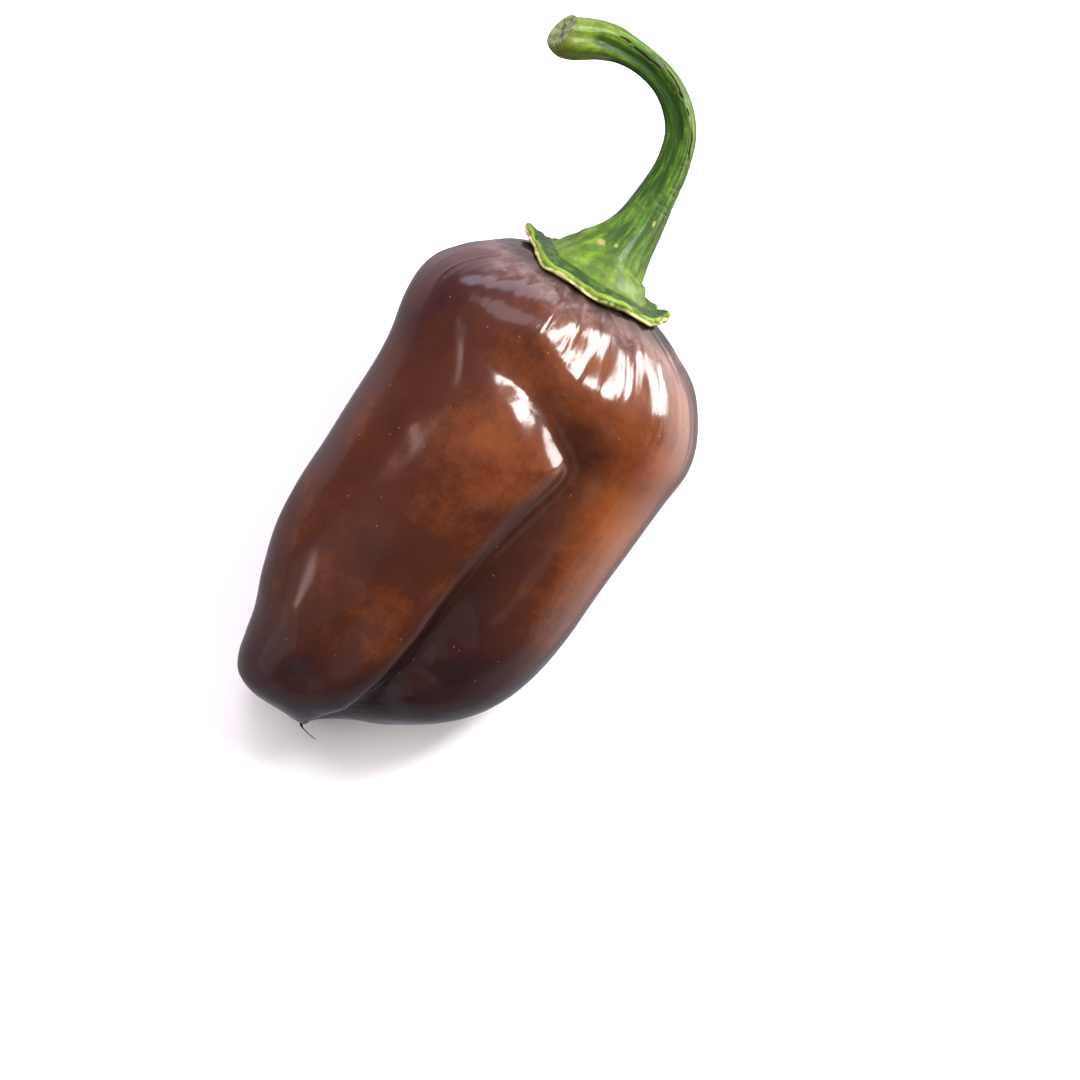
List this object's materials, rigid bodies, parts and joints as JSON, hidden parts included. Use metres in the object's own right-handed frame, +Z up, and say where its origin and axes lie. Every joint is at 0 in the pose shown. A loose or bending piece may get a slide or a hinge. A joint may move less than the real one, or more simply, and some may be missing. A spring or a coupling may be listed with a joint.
{
  "type": "sweet chocolate pepper",
  "caption": "Whole chocolate-brown sweet pepper with lobes and a curved green stalk, picked and lying on its side.",
  "frame": {"origin": "on the surface that the pepper lies on, below the middle of its box", "axes": "+Z up; +Y along the pepper, from the blossom end towards the stalk; +X to the right of it as seen from above with the stalk away from the viewer"},
  "size_m": [0.0738, 0.1576, 0.0599],
  "materials": {
    "skin": "waxy glossy pepper skin, chocolate brown with redder and darker patches",
    "stalk": "satin green stalk with pale ribs and corky cracks",
    "thread": "dull dry black fibre"
  },
  "bodies": {
    "root": {"fruit": "skin", "stalk_and_calyx": "stalk", "style_thread": "thread"}
  },
  "joints": []
}
